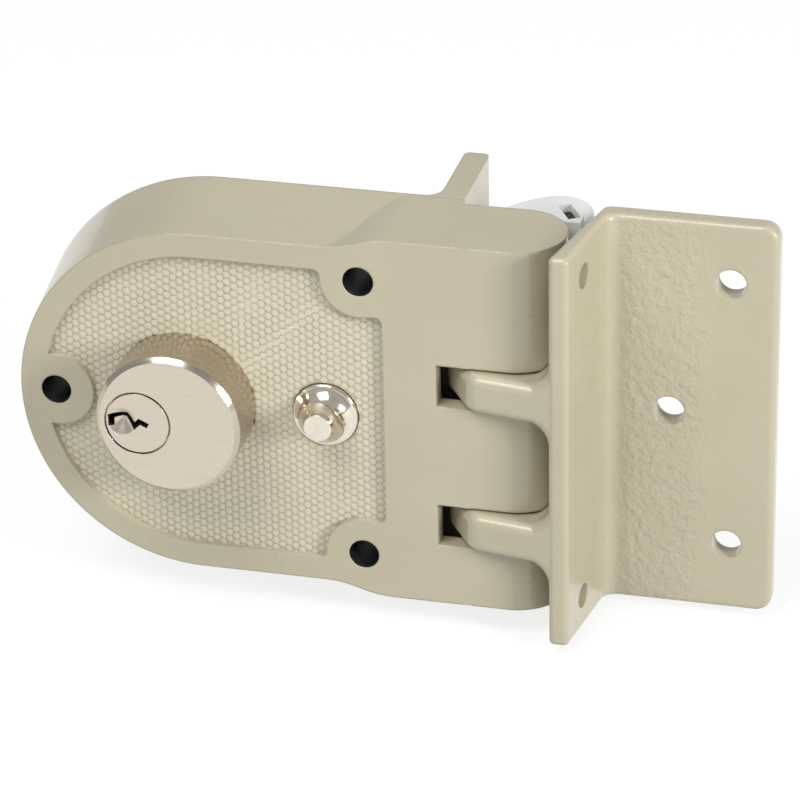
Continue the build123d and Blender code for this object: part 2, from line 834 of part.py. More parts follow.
# Carriage: a plate behind the guides, an upright bar and two arms out to the bolts
guide_slot = 2 * (guide_shoulder + guide_play)
shank_slot = 2 * (shank_radius + shank_slot_play)
drive_slot = 2 * (cam_stud + drive_play)
drive_run = drive_far - drive_near + 2 * drive_over
with BuildPart() as bolt_carriage:
    with BuildSketch(layer(plate_front)):
        with Locations(((limb_left + plate_left + guide_slot) / 2, (limb_bottom + limb_top) / 2)):
            Rectangle(plate_left + guide_slot - limb_left, limb_top - limb_bottom)
        with Locations(((plate_left + bar_left + bar_thick) / 2, (plate_bottom + plate_top) / 2)):
            Rectangle(bar_left + bar_thick - plate_left, plate_top - plate_bottom)
        with Locations((guide_a[0], guide_a[1] + bolt_travel / 2)):
            Rectangle(2 * tab_side, bolt_travel + guide_slot + 2 * tab_over)
        with Locations((throw_x, limb_top + nib_height / 2)):
            Rectangle(nib_width, nib_height)
        for x, z in (guide_a, guide_b):
            with Locations((x, z + bolt_travel / 2)):
                SlotCenterToCenter(bolt_travel, guide_slot, rotation=90, mode=Mode.SUBTRACT)
        with Locations((button_x, bolt_travel / 2)):
            SlotCenterToCenter(bolt_travel, shank_slot, rotation=90, mode=Mode.SUBTRACT)
        with Locations(((drive_near + drive_far) / 2, drive_z)):
            SlotCenterToCenter(drive_run, drive_slot, mode=Mode.SUBTRACT)
        with Locations((stud_x, stud_z)):
            Circle(stud_radius, mode=Mode.SUBTRACT)
    extrude(amount=-plate_thick)
    bar_foot = arm_levels[1]
    bar_head = arm_levels[0] + arm_thick
    with BuildSketch(layer(arm_front)):
        with Locations((bar_left + bar_thick / 2, (bar_foot + bar_head) / 2)):
            Rectangle(bar_thick, bar_head - bar_foot)
    extrude(amount=-(plate_rear - arm_front))
    for level in arm_levels:
        with BuildSketch(upright(0, nose_radius, level)):
            with Locations(((bar_left + nose_x) / 2, 0)):
                Rectangle(nose_x - bar_left, arm_width)
            with Locations((nose_x, 0)):
                Circle(arm_end_radius)
                Circle(spigot_radius + spigot_play, mode=Mode.SUBTRACT)
        extrude(amount=arm_thick)
save(bolt_carriage.part, "bolt_carriage")

# Two bolts, each with a spigot through its arm, and the clips that keep them there
for name, foot in (("upper_bolt", bolt_feet[0]), ("lower_bolt", bolt_feet[1])):
    with BuildPart() as bolt:
        with BuildSketch(upright(nose_x, nose_radius, foot)):
            Circle(bolt_radius)
        extrude(amount=bolt_body)
        chamfer(bolt.edges().group_by(Axis.Z)[0], bolt_lead)
        with BuildSketch(upright(nose_x, nose_radius, foot + bolt_body)):
            Circle(spigot_radius)
        extrude(amount=arm_thick + clip_thick + spigot_over)
    save(bolt.part, name)

with BuildPart() as bolt_clips:
    for level in arm_levels:
        with BuildSketch(upright(nose_x, nose_radius, level + arm_thick)):
            Circle(clip_radius)
            Circle(spigot_radius, mode=Mode.SUBTRACT)
            with Locations((clip_radius, 0)):
                Rectangle(2 * clip_radius, spigot_radius, mode=Mode.SUBTRACT)
        extrude(amount=clip_thick)
save(bolt_clips.part, "bolt_clips")

with BuildPart() as catch_stud:
    with BuildSketch(layer(plate_front)):
        with Locations((stud_x, stud_z)):
            Circle(stud_radius)
    extrude(amount=-(plate_thick + stud_tail + lever_thick))
save(catch_stud.part, "catch_stud")

# Bridge over the button's shank, clamped by the two guide screws
with BuildPart() as button_bridge:
    with BuildSketch(layer(guide_boss_depth)):
        with BuildLine():
            Polyline(guide_a, (button_x, 0), guide_b, close=True)
        make_face()
        with Locations(guide_a, guide_b):
            Circle(bridge_lobe)
        with Locations((button_x, 0)):
            Circle(bridge_hub)
            Circle(shank_radius + shank_play, mode=Mode.SUBTRACT)
        with Locations(guide_a, guide_b):
            Circle(guide_thread, mode=Mode.SUBTRACT)
    extrude(amount=-bridge_thick)
save(button_bridge.part, "button_bridge")

with BuildPart() as guide_screws:
    with BuildSketch(layer(bridge_rear)):
        with Locations(guide_a, guide_b):
            Circle(guide_shoulder)
    extrude(amount=-(head_front - bridge_rear))
    with BuildSketch(layer(head_front)):
        with Locations(guide_a, guide_b):
            Circle(guide_head)
    extrude(amount=-guide_head_thick)
    with BuildSketch(layer(bridge_rear)):
        with Locations(guide_a, guide_b):
            Circle(guide_thread)
    extrude(amount=guide_thread_length)
    with BuildSketch(layer(head_front + guide_head_thick)):
        with Locations(guide_a, guide_b):
            Rectangle(2 * guide_head, slot_drive_width, rotation=2 * slot_turn)
    extrude(amount=slot_drive_deep, mode=Mode.SUBTRACT)
save(guide_screws.part, "guide_screws")

# Button: turned in one piece, a bell that widens from a flat tip to a rim
flange_front = front_wall + button_flange_gap
flange_rear = flange_front + button_flange_thick
with BuildPart() as button:
    with BuildSketch(upright(button_x, 0, 0)):
        with BuildLine():
            neck = (button_neck, button_neck_drop - button_proud)
            dish_edge = (button_radius - button_rim_lip, button_rim_depth)
            lip_end = (button_radius, button_rim_depth + button_rim_lip)
            Polyline((0, shank_end_depth), (0, -button_proud), (button_tip, -button_proud), neck)
            TangentArc(neck, dish_edge, tangent=(0, 1))
            TangentArc(dish_edge, lip_end, tangent=(1, 0))
            Polyline(
                lip_end,
                (button_radius, flange_front),
                (button_flange, flange_front),
                (button_flange, flange_rear),
                (shank_radius, flange_rear),
                (shank_radius, shank_full_depth),
                (shank_tip_radius, shank_end_depth),
                (0, shank_end_depth),
            )
        make_face()
    revolve(axis=Axis((button_x, 0, 0), (0, 1, 0)))
save(button.part, "button")

pressed_length = guide_boss_depth - flange_rear - button_travel - coil_gap
button_spring_turns = int(pressed_length / (button_spring_wire + coil_gap))
button_spring = spring(
    guide_boss_depth - pressed_length, guide_boss_depth, button_spring_radius, button_spring_wire,
    button_spring_turns, along_y(button_x, 0, 0),
)
save(button_spring, "button_spring")

# Catch lever on its pivot in the cover, and the spring that returns it
with BuildPart() as catch_lever:
    with BuildSketch(layer(lever_front)):
        with Locations(lever_pivot):
            Circle(lever_eye)
        with Locations((lever_pivot[0], (lever_pivot[1] + lever_top) / 2)):
            Rectangle(lever_width, lever_top - lever_pivot[1])
        with Locations(((lever_pivot[0] + lever_hook_end) / 2, lever_top - lever_hook / 2)):
            Rectangle(lever_hook_end - lever_pivot[0], lever_hook)
        with Locations(lever_pivot):
            Circle(pivot_radius + pivot_play, mode=Mode.SUBTRACT)
    extrude(amount=-lever_thick)
save(catch_lever.part, "catch_lever")

with BuildPart() as catch_pivot:
    with BuildSketch(layer(case_depth)):
        with Locations(lever_pivot):
            Circle(pivot_radius)
    extrude(amount=case_depth - lever_front + pivot_head_gap)
    with BuildSketch(layer(lever_front - pivot_head_gap)):
        with Locations(lever_pivot):
            Circle(pivot_head)
    extrude(amount=pivot_head_thick)
save(catch_pivot.part, "catch_pivot")

catch_spring = spring(
    catch_tab_left + catch_tab_thick, lever_pivot[0] - lever_width / 2 - catch_travel,
    catch_spring_radius, catch_spring_wire, catch_spring_turns,
    along_x(0, lever_front + lever_thick / 2, catch_spring_z),
)
save(catch_spring, "catch_spring")

# Throw spring between the case's top wall and the carriage
throw_spring = spring(
    limb_top, inner_half, throw_radius, throw_wire, throw_turns,
    upright(throw_x, plate_front + plate_thick / 2, 0),
)
save(throw_spring, "throw_spring")

# Strike: a cast angle, its side flange leaning away from the case
strike_height = strike_above + strike_below
strike_rear = strike_front + strike_thick
with BuildPart() as strike:
    with BuildSketch(Plane.XY.offset(-strike_below)) as angle_plan:
        with BuildLine():
            Polyline(
                (side_edge_left, y_of(side_edge)),
                (side_edge_right, y_of(side_edge)),
                (side_back_right, y_of(strike_front)),
                (strike_right, y_of(strike_front)),
                (strike_right, y_of(strike_rear)),
                (side_back_left, y_of(strike_rear)),
                close=True,
            )
        make_face()
        inside, outside = (side_back_right, y_of(strike_front)), (side_back_left, y_of(strike_rear))
        fillet(angle_plan.vertices().sort_by_distance(inside)[0], bend_inside)
        fillet(angle_plan.vertices().sort_by_distance(outside)[0], bend_outside)
        fillet(angle_plan.vertices().group_by(Axis.Y)[0], strike_edge)
    extrude(amount=strike_height)
    fillet(strike.edges().filter_by(GeomType.LINE).filter_by(Axis.Y).group_by(Axis.X)[-1], strike_corner)
    ends = [edge for face in strike.faces().filter_by(Axis.Z) for edge in face.edges()]
    fillet(ends + list(strike.edges().group_by(Axis.X)[-1]), strike_edge)

# The fingers grow out of the middle of the side flange
root_front = ((side_edge_left + side_edge_right) / 2, y_of(side_edge))
root_rear = ((side_back_left + side_back_right) / 2, y_of(finger_rear))
finger_half = finger_thick / 2
for z in slot_centres:
    with BuildPart() as finger:
        with BuildSketch(Plane.XY.offset(z - finger_half)) as finger_plan:
            with BuildLine():
                Polyline(
                    root_rear,
                    root_front,
                    (finger_shoulder_x, y_of(finger_front)),
                    (finger_tip_x, y_of(nose_radius - finger_tip_half)),
                    (finger_tip_x, y_of(nose_radius + finger_tip_half)),
                    (finger_shoulder_x, y_of(finger_rear)),
                    close=True,
                )
            make_face()
            shoulders = finger_plan.vertices().group_by(Axis.X)[1]
            fillet(shoulders, finger_shoulder_round)
            fillet(finger_plan.vertices().group_by(Axis.X)[0], finger_tip_round)
        extrude(amount=finger_thick)
        rims = [edge for face in finger.faces().filter_by(Axis.Z) for edge in face.edges()]
        fillet([edge for edge in rims if edge.center().X < side_edge_left], finger_round)

    # Above and below, the root widens in a hollow curve until it meets the flange
    with BuildPart() as root:
        with BuildSketch(layer(side_edge - cut_over)):
            with BuildLine():
                Line((finger_flare_x, z - finger_half), (finger_flare_x, z + finger_half))
                corners = []
                for side in (1, -1):
                    near = (finger_flare_x, z + side * finger_half)
                    far = (finger_flare_x + finger_flare, z + side * (finger_half + finger_flare))
                    TangentArc(near, far, tangent=(1, 0))
                    corners.append(far)
                above, below = corners
                Polyline(above, (root_rear[0], above[1]), (root_rear[0], below[1]), below)
            make_face()
        extrude(amount=-(strike_rear - side_edge + cut_over))
        with BuildSketch(Plane.XY.offset(z - finger_half - finger_flare)):
            with BuildLine():
                Polyline(
                    root_rear,
                    root_front,
                    (finger_shoulder_x, y_of(finger_front)),
                    (finger_shoulder_x, y_of(finger_rear)),
                    close=True,
                )
            make_face()
        extrude(amount=finger_thick + 2 * finger_flare, mode=Mode.INTERSECT)
        fillet([edge for edge in root.edges() if edge.geom_type != GeomType.LINE], root_round)
        with BuildSketch(upright(nose_x, nose_radius, z - finger_half - finger_flare - cut_over)):
            Circle(nose_radius + finger_play)
        extrude(amount=finger_thick + 2 * (finger_flare + cut_over), mode=Mode.SUBTRACT)
    with strike:
        add(finger.part)
        add(root.part)

# Eyes for the bolts, screw holes, and a blind dimple with a bump behind it near each end
side_share = (side_hole_depth - side_edge) / (strike_rear - side_edge)
side_left_here = side_edge_left + side_share * (side_back_left - side_edge_left)
with strike:
    with BuildSketch(upright(nose_x, nose_radius, slot_lower_z - slot_height)):
        Circle(bolt_radius + finger_eye_play)
    extrude(amount=slot_upper_z - slot_lower_z + 2 * slot_height, mode=Mode.SUBTRACT)
    with BuildSketch(layer(strike_front - cut_over)):
        with Locations(
            (strike_hole_x, strike_hole_half),
            (strike_hole_x, -strike_hole_half),
            (strike_mid_x, 0),
        ):
            Circle(strike_hole / 2)
    extrude(amount=-(strike_thick + 2 * cut_over), mode=Mode.SUBTRACT)
    for z in (strike_above - side_hole_margin, side_hole_margin - strike_below):
        with BuildSketch(along_x(side_left_here - side_boss_proud, side_hole_depth, z)):
            Circle(side_boss_radius)
        extrude(amount=side_boss_proud + side_floor)
        with BuildSketch(along_x(side_left_here + side_floor, side_hole_depth, z)):
            Circle(side_hole / 2)
        extrude(amount=strike_thick, mode=Mode.SUBTRACT)

# The two fingers of the casting are pieces of their own
for name, z in (("strike_finger_upper", slot_upper_z), ("strike_finger_lower", slot_lower_z)):
    finger_middle, finger_size = between(
        (finger_tip_x - cut_over, y_of(side_edge), z - slot_height),
        (finger_split, y_of(strike_rear), z + slot_height),
    )
    with BuildPart() as loose_finger:
        with Locations(finger_middle):
            Box(*finger_size)
        add(strike.part, mode=Mode.INTERSECT)
    save(loose_finger.part, name)
    with strike:
        with Locations(finger_middle):
            Box(*finger_size, mode=Mode.SUBTRACT)
save(strike.part, "strike")
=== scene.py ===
import bpy
import math
from mathutils import Matrix, Vector


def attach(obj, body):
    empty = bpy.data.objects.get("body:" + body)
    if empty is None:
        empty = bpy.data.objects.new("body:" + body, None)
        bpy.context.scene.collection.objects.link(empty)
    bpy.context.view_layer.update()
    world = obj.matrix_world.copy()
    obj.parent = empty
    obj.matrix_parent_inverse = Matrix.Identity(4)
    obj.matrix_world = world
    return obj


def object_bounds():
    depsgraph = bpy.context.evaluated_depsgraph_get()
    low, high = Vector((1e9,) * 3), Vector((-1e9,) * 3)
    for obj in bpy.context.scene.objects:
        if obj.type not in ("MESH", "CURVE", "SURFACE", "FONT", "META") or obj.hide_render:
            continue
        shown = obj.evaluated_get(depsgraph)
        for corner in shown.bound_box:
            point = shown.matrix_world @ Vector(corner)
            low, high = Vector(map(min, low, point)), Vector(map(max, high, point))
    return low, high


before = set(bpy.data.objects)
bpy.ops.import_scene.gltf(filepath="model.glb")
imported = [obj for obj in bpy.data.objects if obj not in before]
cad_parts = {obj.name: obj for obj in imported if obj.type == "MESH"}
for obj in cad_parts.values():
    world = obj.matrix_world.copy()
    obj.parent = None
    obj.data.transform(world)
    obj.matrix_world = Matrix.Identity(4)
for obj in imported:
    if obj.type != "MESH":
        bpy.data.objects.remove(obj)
frameLow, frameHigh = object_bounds()
print("stage: frame loaded")

noiseMiddle = (0.3, 0.7)    # the stretch of a noise's values that is spread over a full range
bevelSamples = 6


def linear(red, green, blue):
    out = []  # scene values of a colour written in 0 to 255 steps
    for channel in (red, green, blue):
        share = channel / 255
        out.append(share / 12.92 if share <= 0.04045 else ((share + 0.055) / 1.055) ** 2.4)
    return (*out, 1.0)


def newMaterial(name):
    material = bpy.data.materials.new(name)
    material.use_nodes = True
    tree = material.node_tree
    tree.nodes.clear()
    output = tree.nodes.new("ShaderNodeOutputMaterial")
    shader = tree.nodes.new("ShaderNodeBsdfPrincipled")
    tree.links.new(shader.outputs["BSDF"], output.inputs["Surface"])
    return material, tree, shader


def addSocket(group, name, kind, out=False, value=None):
    side = "OUTPUT" if out else "INPUT"
    socket = group.interface.new_socket(name, in_out=side, socket_type="NodeSocket" + kind)
    if value is not None:
        socket.default_value = value


def objectPlace(tree):
    return tree.nodes.new("ShaderNodeTexCoord").outputs["Object"]


def axisOf(tree, place, axis):
    node = tree.nodes.new("ShaderNodeSeparateXYZ")
    tree.links.new(place, node.inputs["Vector"])
    return node.outputs[axis]


def noise(tree, place, scale, detail=3.0, roughness=0.55):
    node = tree.nodes.new("ShaderNodeTexNoise")
    node.inputs["Scale"].default_value = scale
    node.inputs["Detail"].default_value = detail
    node.inputs["Roughness"].default_value = roughness
    tree.links.new(place, node.inputs["Vector"])
    return node.outputs["Fac"]


def spread(tree, value, low, high, outLow=0.0, outHigh=1.0):
    node = tree.nodes.new("ShaderNodeMapRange")
    node.inputs["From Min"].default_value = low
    node.inputs["From Max"].default_value = high
    node.inputs["To Min"].default_value = outLow
    node.inputs["To Max"].default_value = outHigh
    tree.links.new(value, node.inputs["Value"])
    return node.outputs["Result"]


def maths(tree, operation, *values):
    node = tree.nodes.new("ShaderNodeMath")
    node.operation = operation
    for slot, value in enumerate(values):  # each value is a number or another node's output
        if isinstance(value, float):
            node.inputs[slot].default_value = value
        else:
            tree.links.new(value, node.inputs[slot])
    return node.outputs["Value"]


def mixColour(tree, mask, first, second):
    node = tree.nodes.new("ShaderNodeMix")
    node.data_type = "RGBA"
    node.inputs["A"].default_value = first
    node.inputs["B"].default_value = second
    tree.links.new(mask, node.inputs["Factor"])
    return node.outputs["Result"]


def bump(tree, height, distance, strength, under=None):
    node = tree.nodes.new("ShaderNodeBump")
    node.inputs["Distance"].default_value = distance
    if isinstance(strength, float):
        node.inputs["Strength"].default_value = strength
    else:
        tree.links.new(strength, node.inputs["Strength"])
    tree.links.new(height, node.inputs["Height"])
    if under is not None:
        tree.links.new(under, node.inputs["Normal"])
    return node.outputs["Normal"]


def roundedEdge(tree, radius):
    node = tree.nodes.new("ShaderNodeBevel")
    node.samples = bevelSamples
    tree.links.new(radius, node.inputs["Radius"])
    return node.outputs["Normal"]


# Sprayed enamel of the castings, and of the small scales on the panel; the scales' enamel is painted
# lighter, a painted highlight that makes up for their own shade
enamelLook = {
    "colour": (188, 180, 155),
    "dark": (180, 172, 147),
    # The scales' tones are lighter than the castings' enamel: painted light that offsets the shade among the
    # small scales
    "scaleBrightenedColour": (205, 197, 174),
    "scaleBrightenedDark": (197, 189, 166),
    "edge": 0.0006,         # rounding that the light shows on the castings' edges
    "scaleEdge": 0.00004,
    "ripple": 0.12,
    "rippleScale": 260.0,   # waves of the sprayed skin per metre
    "rippleDepth": 0.00012,
    "toneScale": 24.0,
    "glossScale": 70.0,
    "gloss": (0.24, 0.34),
    "coat": 0.5,
    "coatRoughness": 0.08,
    "ior": 1.5,
    "castGrain": 640.0,     # cells per metre of the rough cast skin
    "castDepth": 0.00042,
    "castFrom": 0.086,      # the cast skin shows from here rightwards
    "castTo": 0.098,
    "castRise": 0.004,      # length over which it comes in, and over which it fades
    "castFade": 0.005,
    "castRest": 0.08,       # what is left of it beyond
}
seamLook = {
    "planes": (0.0570, 0.0720),     # X where the pieces of one casting meet
    "plain": 0.0007,                # no edge is rounded this near to such a plane
    "full": 0.0012,
}


# Shared effect: small waves that a sprayed enamel keeps, on top of rounded edges
def enamelGroup():
    look = enamelLook
    group = bpy.data.node_groups.new("EnamelSkin", "ShaderNodeTree")
    addSocket(group, "Edge", "Float", value=look["edge"])
    addSocket(group, "Ripple", "Float", value=look["ripple"])
    addSocket(group, "Normal", "Vector", out=True)
    addSocket(group, "Tone", "Float", out=True)
    addSocket(group, "Gloss", "Float", out=True)
    start = group.nodes.new("NodeGroupInput")
    end = group.nodes.new("NodeGroupOutput")
    place = objectPlace(group)
    across = axisOf(group, place, "X")
    radius = start.outputs["Edge"]
    for plane in seamLook["planes"]:
        far = maths(group, "ABSOLUTE", maths(group, "SUBTRACT", across, plane))
        keep = spread(group, far, seamLook["plain"], seamLook["full"])
        radius = maths(group, "MULTIPLY", keep, radius)
    waves = noise(group, place, look["rippleScale"], detail=2.0, roughness=0.4)
    edge = roundedEdge(group, radius)
    skin = bump(group, waves, look["rippleDepth"], start.outputs["Ripple"], edge)
    tone = noise(group, place, look["toneScale"], detail=4.0)
    gloss = noise(group, place, look["glossScale"])
    group.links.new(skin, end.inputs["Normal"])
    group.links.new(spread(group, tone, *noiseMiddle), end.inputs["Tone"])
    group.links.new(spread(group, gloss, *noiseMiddle, *look["gloss"]), end.inputs["Gloss"])
    return group


def castHeight(tree):
    look = enamelLook
    place = objectPlace(tree)
    grain = noise(tree, place, look["castGrain"], detail=2.0, roughness=0.5)
    across = axisOf(tree, place, "X")
    rise = spread(tree, across, look["castFrom"] - look["castRise"], look["castFrom"])
    fade = spread(tree, across, look["castTo"], look["castTo"] + look["castFade"], 1.0, look["castRest"])
    return maths(tree, "MULTIPLY", grain, maths(tree, "MULTIPLY", rise, fade))


def enamelMaterial(name, cast=False, edge="edge", tones=("dark", "colour")):
    look = enamelLook
    material, tree, shader = newMaterial(name)
    skin = tree.nodes.new("ShaderNodeGroup")
    skin.node_tree = enamelSkin
    skin.inputs["Edge"].default_value = look[edge]
    skin.inputs["Ripple"].default_value = look["ripple"]
    shader.inputs["Coat Weight"].default_value = look["coat"]
    shader.inputs["Coat Roughness"].default_value = look["coatRoughness"]
    shader.inputs["IOR"].default_value = look["ior"]
    dark, light = (linear(*look[tone]) for tone in tones)
    colour = mixColour(tree, skin.outputs["Tone"], dark, light)
    normal = skin.outputs["Normal"]
    if cast:
        normal = bump(tree, castHeight(tree), look["castDepth"], 1.0, normal)
    tree.links.new(colour, shader.inputs["Base Color"])
    tree.links.new(skin.outputs["Gloss"], shader.inputs["Roughness"])
    tree.links.new(normal, shader.inputs["Normal"])
    tree.links.new(skin.outputs["Normal"], shader.inputs["Coat Normal"])
    return material


# Bare metals: light tone, dark tone, roughness range, cut lines per metre each way, and their strength
metalLooks = {
    "nickelFace": ((216, 205, 190), (208, 197, 181), (0.24, 0.32), (60, 700, 1500), 0.10),
    "nickelSide": ((205, 194, 178), (180, 170, 154), (0.14, 0.22), (200, 2600, 200), 0.30),
    "nickelTurned": ((236, 228, 214), (218, 209, 194), (0.08, 0.15), (200, 3400, 200), 0.30),
    "zincPlate": ((186, 187, 186), (156, 158, 160), (0.30, 0.44), (300, 500, 900), 0.35),
    "groundSteel": ((204, 204, 202), (172, 172, 172), (0.16, 0.26), (200, 200, 3000), 0.35),
    "blackSteel": ((62, 62, 64), (38, 38, 40), (0.36, 0.50), (500, 500, 500), 0.35),
    # Walls of the mounting holes: bare metal, darkened as painted shade inside the holes
    "boreBareAndShade": ((120, 124, 122), (94, 98, 96), (0.36, 0.50), (500, 500, 500), 0.35),
    "springWire": ((168, 168, 166), (126, 126, 126), (0.24, 0.36), (900, 900, 900), 0.35),
    "turnedBrass": ((205, 170, 98), (178, 142, 74), (0.20, 0.32), (2400, 300, 300), 0.35),
}
cutLines = {"edge": 0.0002, "depth": 0.00002}


# Shared effect: the cut lines a lathe or a brush leaves
def brushedGroup():
    group = bpy.data.node_groups.new("BrushedMetal", "ShaderNodeTree")
    addSocket(group, "Pitch", "Vector")
    addSocket(group, "Edge", "Float", value=cutLines["edge"])
    addSocket(group, "Depth", "Float")
    addSocket(group, "Normal", "Vector", out=True)
    addSocket(group, "Tone", "Float", out=True)
    start = group.nodes.new("NodeGroupInput")
    end = group.nodes.new("NodeGroupOutput")
    stretch = group.nodes.new("ShaderNodeVectorMath")
    stretch.operation = "MULTIPLY"
    group.links.new(objectPlace(group), stretch.inputs[0])
    group.links.new(start.outputs["Pitch"], stretch.inputs[1])
    lines = noise(group, stretch.outputs["Vector"], 1.0, detail=5.0, roughness=0.6)
    edge = roundedEdge(group, start.outputs["Edge"])
    cut = bump(group, lines, cutLines["depth"], start.outputs["Depth"], edge)
    group.links.new(cut, end.inputs["Normal"])
    group.links.new(spread(group, lines, *noiseMiddle), end.inputs["Tone"])
    return group


def metalMaterial(name):
    light, dark, rough, pitch, depth = metalLooks[name]
    material, tree, shader = newMaterial(name)
    lines = tree.nodes.new("ShaderNodeGroup")
    lines.node_tree = brushedMetal
    lines.inputs["Pitch"].default_value = pitch
    lines.inputs["Depth"].default_value = depth
    shader.inputs["Metallic"].default_value = 1.0
    colour = mixColour(tree, lines.outputs["Tone"], linear(*dark), linear(*light))
    tree.links.new(colour, shader.inputs["Base Color"])
    tree.links.new(spread(tree, lines.outputs["Tone"], 0.0, 1.0, *rough), shader.inputs["Roughness"])
    tree.links.new(lines.outputs["Normal"], shader.inputs["Normal"])
    return material


# The whitish guard behind the nose
guardLook = {
    "light": (238, 240, 237),
    "dark": (218, 221, 217),
    "toneScale": 40.0,
    "toneMiddle": (0.35, 0.65),
    "glossScale": 120.0,
    "gloss": (0.22, 0.36),
    "grain": 400.0,
    "grainDepth": 0.00008,
    "grainStrength": 0.2,
}


def guardMaterial():
    look = guardLook
    material, tree, shader = newMaterial("guardWhite")
    place = objectPlace(tree)
    patch = spread(tree, noise(tree, place, look["toneScale"]), *look["toneMiddle"])
    colour = mixColour(tree, patch, linear(*look["dark"]), linear(*look["light"]))
    gloss = spread(tree, noise(tree, place, look["glossScale"]), *noiseMiddle, *look["gloss"])
    skin = bump(tree, noise(tree, place, look["grain"]), look["grainDepth"], look["grainStrength"])
    tree.links.new(colour, shader.inputs["Base Color"])
    tree.links.new(gloss, shader.inputs["Roughness"])
    tree.links.new(skin, shader.inputs["Normal"])
    return material


enamelSkin = enamelGroup()
brushedMetal = brushedGroup()
enamel = enamelMaterial("beigeEnamel")
castEnamel = enamelMaterial("castEnamel", cast=True)
# The scales get the lighter tones: painted light over the shade among them
scaleBrightenedEnamel = enamelMaterial("scaleBrightenedEnamel", edge="scaleEdge", tones=("scaleBrightenedDark", "scaleBrightenedColour"))
guardWhite = guardMaterial()
metals = {name: metalMaterial(name) for name in metalLooks}
print("stage: materials made")

# What each piece is finished in; a piece that isn't named here is zinc plated
finishes = {
    "case": enamel,
    "case_nose": enamel,
    "edge_flange": enamel,
    "bore_plug": enamel,
    "strike": castEnamel,
    "strike_finger_upper": castEnamel,
    "strike_finger_lower": castEnamel,
    "nose_guard": guardWhite,
    "plug": metals["nickelFace"],
    "cylinder_body": metals["nickelSide"],
    "pin_strip": metals["nickelSide"],
    "button": metals["nickelTurned"],
    "cylinder_set_screw": metals["blackSteel"],
    "bolt_clips": metals["blackSteel"],
    "upper_bolt": metals["groundSteel"],
    "lower_bolt": metals["groundSteel"],
    "catch_stud": metals["groundSteel"],
    "catch_pivot": metals["groundSteel"],
    "driver_pins": metals["turnedBrass"],
    "key_pins": metals["turnedBrass"],
    "driver_springs": metals["springWire"],
    "button_spring": metals["springWire"],
    "throw_spring": metals["springWire"],
    "catch_spring": metals["springWire"],
}
for nodeName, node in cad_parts.items():
    node.data.materials.clear()
    node.data.materials.append(finishes.get(nodeName, metals["zincPlate"]))
print("stage: CAD pieces dressed")

# Textured panel: small raised scales in a honeycomb layout on the sunk face
panelLook = {
    "columns": 0.00136,     # from column to column
    "pitch": 0.00160,       # within a column
    "reach": 0.00090,       # of a scale's corners
    "height": 0.00017,
    "lean": (-0.00022, -0.00018),  # the peak's shift, so each scale drops off at its lower left
    "sink": 0.00001,        # of a scale's foot into the face
    "under": 0.0006,        # the scales run this far under the border, the lands and the cylinder
    "sizes": (0.96, 1.03),  # the smallest and the largest scale, as a share of the drawn one
    "seed": 7,
}
panelSize = {
    "face": -0.0210,        # the sunk face, 1.2 mm behind the front
    "roundX": 0.0032,
    "radius": 0.0315,
    "stepX": 0.0362,
    "endX": 0.0407,
    "endHalf": 0.0224,
    "land": 0.0077,
    "lands": ((-0.026, 0.0), (0.0362, 0.0298), (0.0362, -0.0298)),
    "cylinder": 0.0146,
    "buttonX": 0.0288,
    "buttonHole": 0.00672,
}


def onPanel(x, z):
    size, under = panelSize, panelLook["under"]
    inRound = math.hypot(x - size["roundX"], z) < size["radius"] + under and x <= size["roundX"]
    inBlock = size["roundX"] < x < size["stepX"] and abs(z) < size["radius"] + under
    inEnd = size["roundX"] < x < size["endX"] + under and abs(z) < size["endHalf"] + under
    if not (inRound or inBlock or inEnd):
        return False
    if any(math.hypot(x - a, z - b) < size["land"] - under for a, b in size["lands"]):
        return False
    if math.hypot(x, z) < size["cylinder"] - under:
        return False
    return math.hypot(x - size["buttonX"], z) > size["buttonHole"]


def scalePlaces():
    look = panelLook
    across = math.ceil((panelSize["endX"] + look["under"]) / look["columns"]) + 1
    along = math.ceil((panelSize["radius"] + look["under"]) / look["pitch"]) + 1
    places = []
    for column in range(-across, across + 1):
        shift = look["pitch"] / 2 if column % 2 else 0.0
        for row in range(-along, along + 1):
            x, z = column * look["columns"], row * look["pitch"] + shift
            if onPanel(x, z):
                places.append((x, panelSize["face"] - look["sink"], z))
    return places


def scaleSeed():
    look = panelLook
    mesh = bpy.data.meshes.new("scaleSeed")
    sides = 6
    turns = [math.tau * side / sides for side in range(sides)]
    corners = [(look["reach"] * math.cos(turn), 0, look["reach"] * math.sin(turn)) for turn in turns]
    peak = (look["lean"][0], -look["height"], look["lean"][1])
    faces = [((side + 1) % sides, side, sides) for side in range(sides)]
    mesh.from_pydata([*corners, peak], [], [*faces, tuple(range(sides))])
    mesh.update()
    return bpy.data.objects.new("scaleSeed", mesh)


